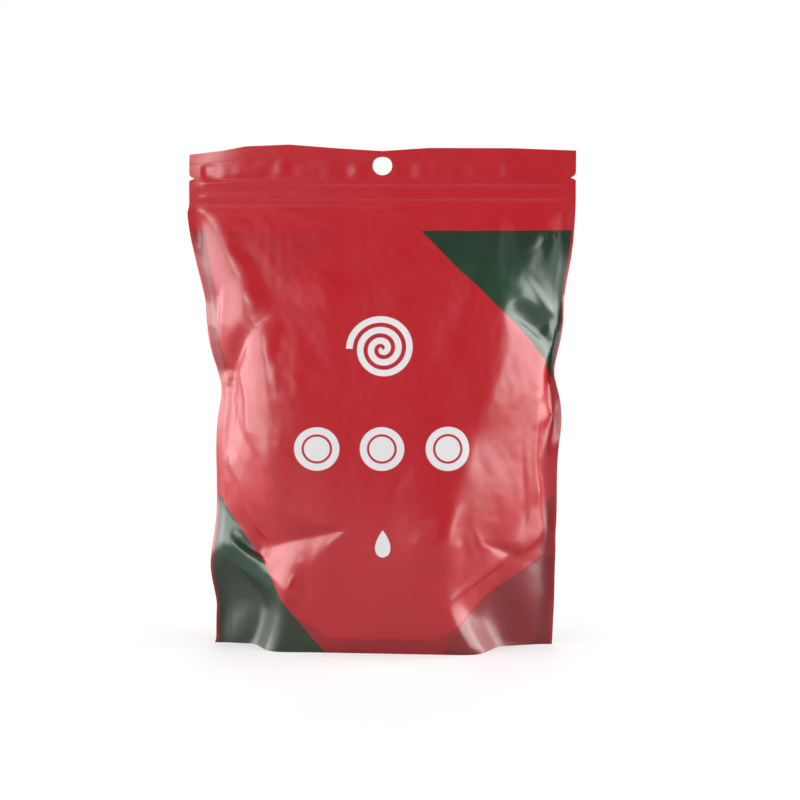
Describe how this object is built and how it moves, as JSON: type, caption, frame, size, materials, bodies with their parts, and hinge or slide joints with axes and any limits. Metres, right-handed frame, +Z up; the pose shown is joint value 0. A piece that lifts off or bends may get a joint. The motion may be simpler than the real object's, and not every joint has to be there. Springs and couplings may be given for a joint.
{
  "type": "pack of compressed towels",
  "caption": "Sealed stand-up film pouch filled with compressed towels, with heat-sealed sides, a folded bottom gusset, a press-to-close zip, a hang hole and tear notches.",
  "frame": {"origin": "on the floor, under the middle of the base", "axes": "+Z up, the front panel faces -Y, +X to the right seen from the front"},
  "size_m": [0.15, 0.0584, 0.1938],
  "materials": {
    "printed_film": "satin printed laminate film, red with dark green corner fields and a pale towel design"
  },
  "bodies": {
    "root": {"pouch": "printed_film"}
  },
  "joints": []
}
